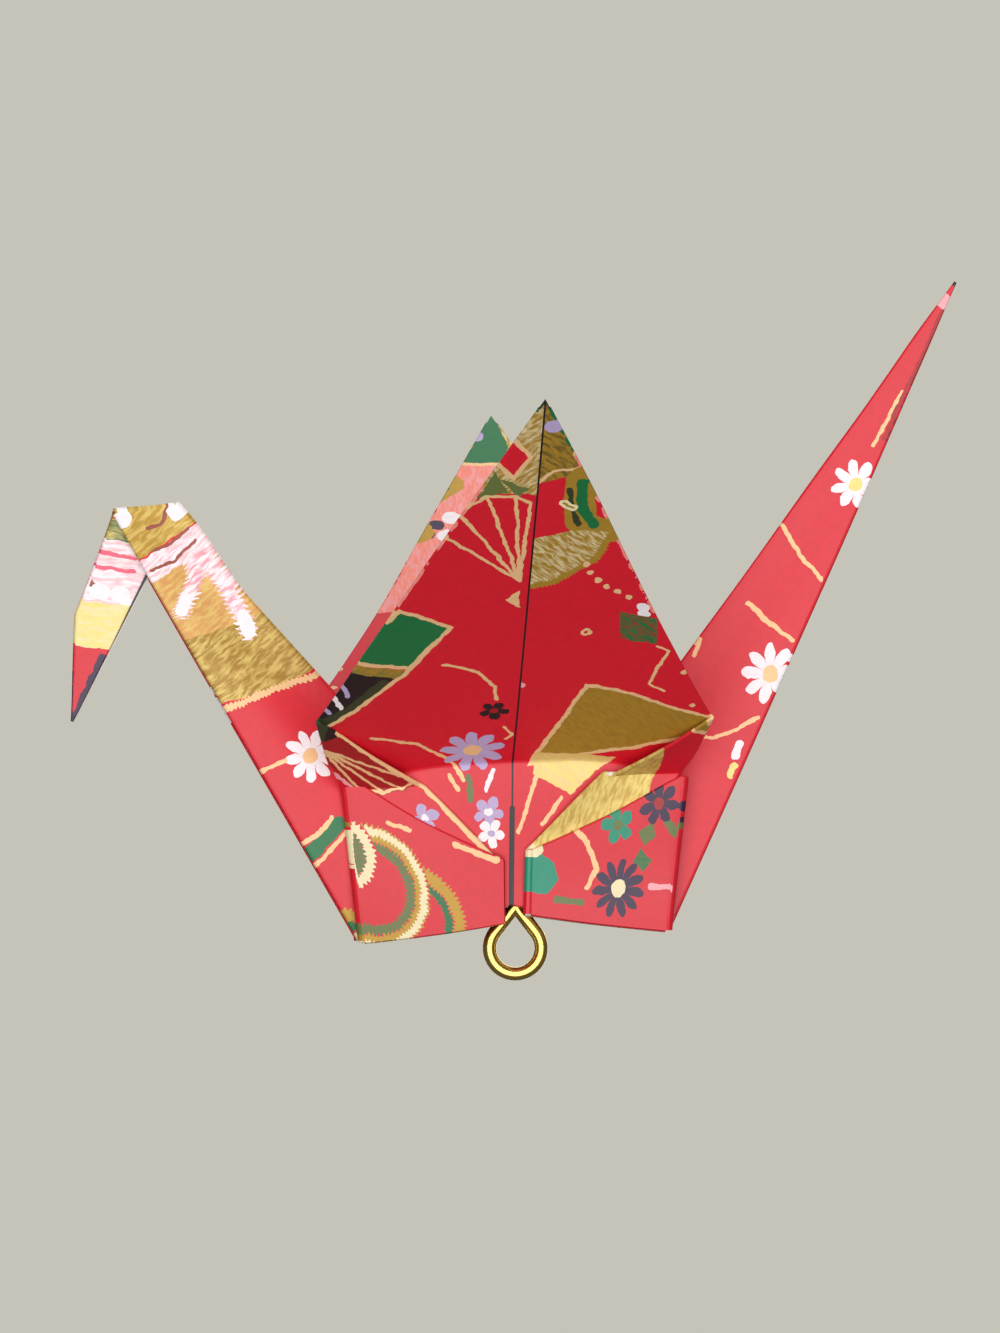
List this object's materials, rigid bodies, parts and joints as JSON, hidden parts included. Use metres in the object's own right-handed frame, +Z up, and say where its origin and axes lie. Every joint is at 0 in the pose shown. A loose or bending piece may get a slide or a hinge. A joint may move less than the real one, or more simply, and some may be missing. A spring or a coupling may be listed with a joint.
{
  "type": "origami crane",
  "caption": "Paper crane folded from one square sheet, with spread wings, on a wire eye pin that runs up through its body and ends in an eye at each end.",
  "frame": {"origin": "centre of the upper eye of the eye pin, which the crane hangs from", "axes": "+X from the neck towards the tail, -Y towards the front wing, +Z up along the pin"},
  "size_m": [0.0468, 0.0512, 0.0363],
  "materials": {
    "printed_washi": "matte printed paper with gold ink",
    "gold_plated_wire": "polished gold plate"
  },
  "bodies": {
    "root": {"folded_crane": "printed_washi", "eye_pin": "gold_plated_wire"}
  },
  "joints": []
}
